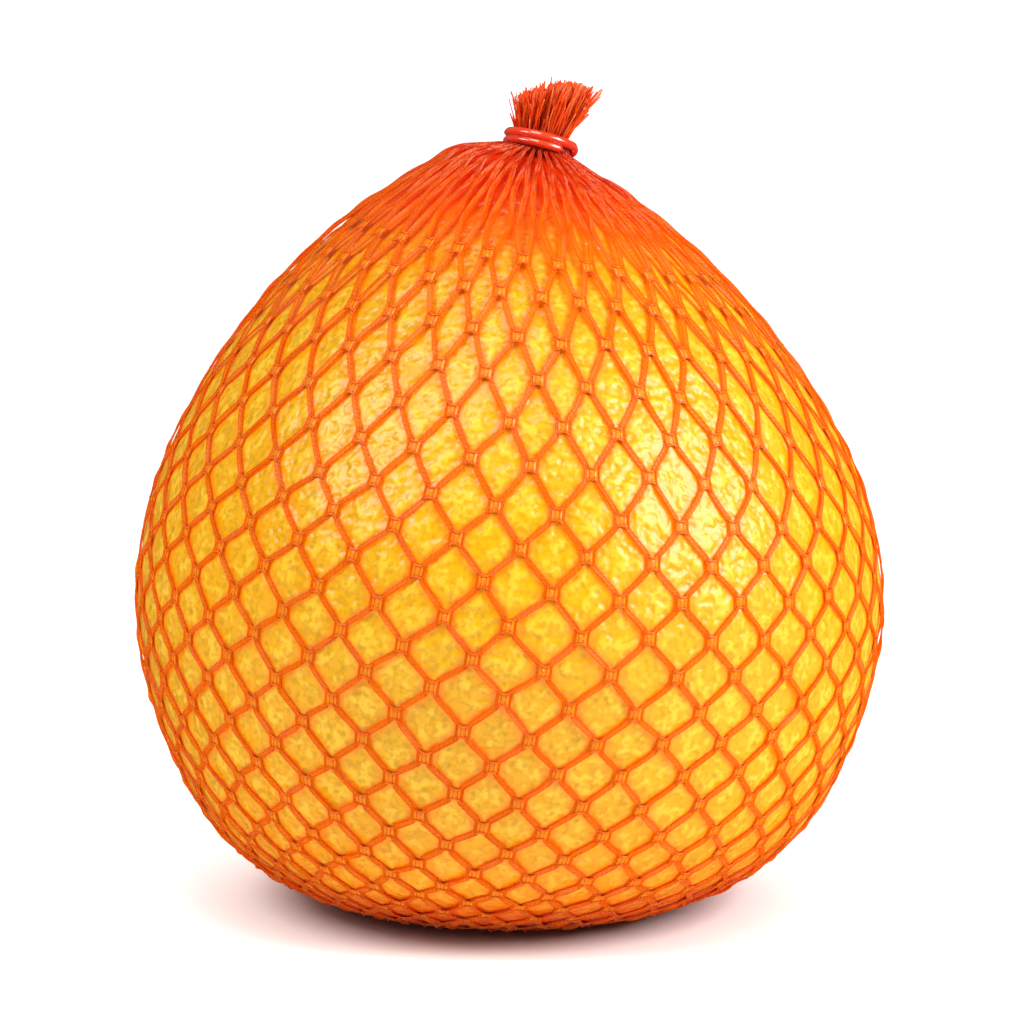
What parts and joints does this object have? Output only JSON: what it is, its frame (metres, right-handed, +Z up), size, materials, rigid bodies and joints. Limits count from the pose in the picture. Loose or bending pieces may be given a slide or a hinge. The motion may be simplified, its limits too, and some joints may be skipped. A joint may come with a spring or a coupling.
{
  "type": "pomelo in a net",
  "caption": "Pear-shaped yellow pomelo in a tight red knitted net, gathered under the fruit and clipped at the top below a tuft of cut ends.",
  "frame": {"origin": "on the surface that the net rests on, under the middle of the fruit's outline", "axes": "+Z up to the stem end and the tuft, -Y towards the front of the fruit, +X to its right as seen from the front"},
  "size_m": [0.1596, 0.1592, 0.1748],
  "materials": {
    "peel": "waxy satin citrus peel with fine pits",
    "net": "translucent satin netting strands",
    "clip": "glossy coating on wire"
  },
  "bodies": {
    "root": {"pomelo": "peel", "net": "net", "clip": "clip"}
  },
  "joints": []
}
